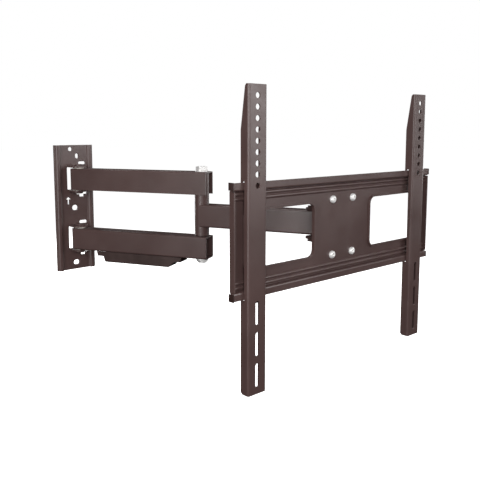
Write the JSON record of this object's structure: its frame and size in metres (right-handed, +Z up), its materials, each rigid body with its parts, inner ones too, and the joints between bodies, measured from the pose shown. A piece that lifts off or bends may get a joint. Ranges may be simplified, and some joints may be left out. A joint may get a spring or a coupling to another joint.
{
  "type": "full motion tv wall mount",
  "caption": "Full motion wall mount for a flat television: wall plate, jointed swivel arm, tilting plate with windows and hook-on vertical brackets.",
  "frame": {"origin": "on the back face of the wall plate, on its vertical centre line, 20 mm below the middle screw hole", "axes": "+Z up along the wall, +Y into the wall, -Y towards the viewer of the television, +X to the viewer's right"},
  "size_m": [0.5096, 0.5312, 0.4464],
  "materials": {
    "painted_steel": "warm brown-grey powder coat, satin, fine orange-peel grain",
    "zinc_steel": "bright zinc plating",
    "black_plastic": "moulded, fine grain",
    "nylon": "natural nylon, semi-matte"
  },
  "bodies": {
    "wall_body": {"wall_plate": "painted_steel", "upper_wall_pin": "painted_steel", "lower_wall_pin": "painted_steel", "upper_wall_washer_top": "nylon", "upper_wall_washer_bottom": "nylon", "lower_wall_washer_top": "nylon", "lower_wall_washer_bottom": "nylon"},
    "arm_pair": {"upper_arm": "painted_steel", "lower_arm": "painted_steel", "cable_trough": "black_plastic", "elbow_bolt": "zinc_steel", "elbow_nut": "zinc_steel", "elbow_washer_top": "zinc_steel", "elbow_washer_bottom": "zinc_steel", "elbow_bush_top": "black_plastic", "elbow_bush_bottom": "black_plastic"},
    "forearm_body": {"forearm": "painted_steel"},
    "swivel_head": {"swivel_yoke": "painted_steel", "swivel_washer_top": "nylon", "swivel_washer_bottom": "nylon", "swivel_bolt": "zinc_steel", "swivel_nut": "zinc_steel", "tilt_pivot_bolt": "zinc_steel", "tilt_pivot_nut": "zinc_steel", "tilt_lock_bolt": "zinc_steel", "tilt_lock_nut": "zinc_steel"},
    "tilt_head": {"tilt_bracket": "painted_steel", "tv_plate": "painted_steel", "plate_bolt_upper_left": "zinc_steel", "plate_bolt_upper_right": "zinc_steel", "plate_bolt_lower_left": "zinc_steel", "plate_bolt_lower_right": "zinc_steel", "plate_nut_upper_left": "zinc_steel", "plate_nut_upper_right": "zinc_steel", "plate_nut_lower_left": "zinc_steel", "plate_nut_lower_right": "zinc_steel", "rail_cap_upper_left": "black_plastic", "rail_cap_upper_right": "black_plastic", "rail_cap_lower_left": "black_plastic", "rail_cap_lower_right": "black_plastic"},
    "left_hook": {"left_bracket": "painted_steel", "left_lock_screw": "painted_steel", "left_lock_nut": "painted_steel"},
    "right_hook": {"right_bracket": "painted_steel", "right_lock_screw": "painted_steel", "right_lock_nut": "painted_steel"}
  },
  "joints": [
    {"name": "wall_swivel", "type": "hinge", "parent": "wall_body", "child": "arm_pair", "pos_m": [0, -0.023, 0.02], "axis": [0, 0, -1], "range_deg": [-58, 114]},
    {"name": "elbow_swivel", "type": "hinge", "parent": "arm_pair", "child": "forearm_body", "pos_m": [0.12717, -0.26117, 0.02], "axis": [0, 0, 1], "range_deg": [-110, 150]},
    {"name": "head_swivel", "type": "hinge", "parent": "forearm_body", "child": "swivel_head", "pos_m": [0.22412, -0.4672, 0.02], "axis": [0, 0, -1], "range_deg": [-115, 65]},
    {"name": "tilt", "type": "hinge", "parent": "swivel_head", "child": "tilt_head", "pos_m": [0.22412, -0.4972, 0.02], "axis": [1, 0, 0], "range_deg": [-5, 15]},
    {"name": "left_bracket_slide", "type": "slide", "parent": "tilt_head", "child": "left_hook", "axis": [1, 0, 0], "range_m": [-0.01, 0.1]},
    {"name": "right_bracket_slide", "type": "slide", "parent": "tilt_head", "child": "right_hook", "axis": [1, 0, 0], "range_m": [-0.1, 0.01]}
  ]
}
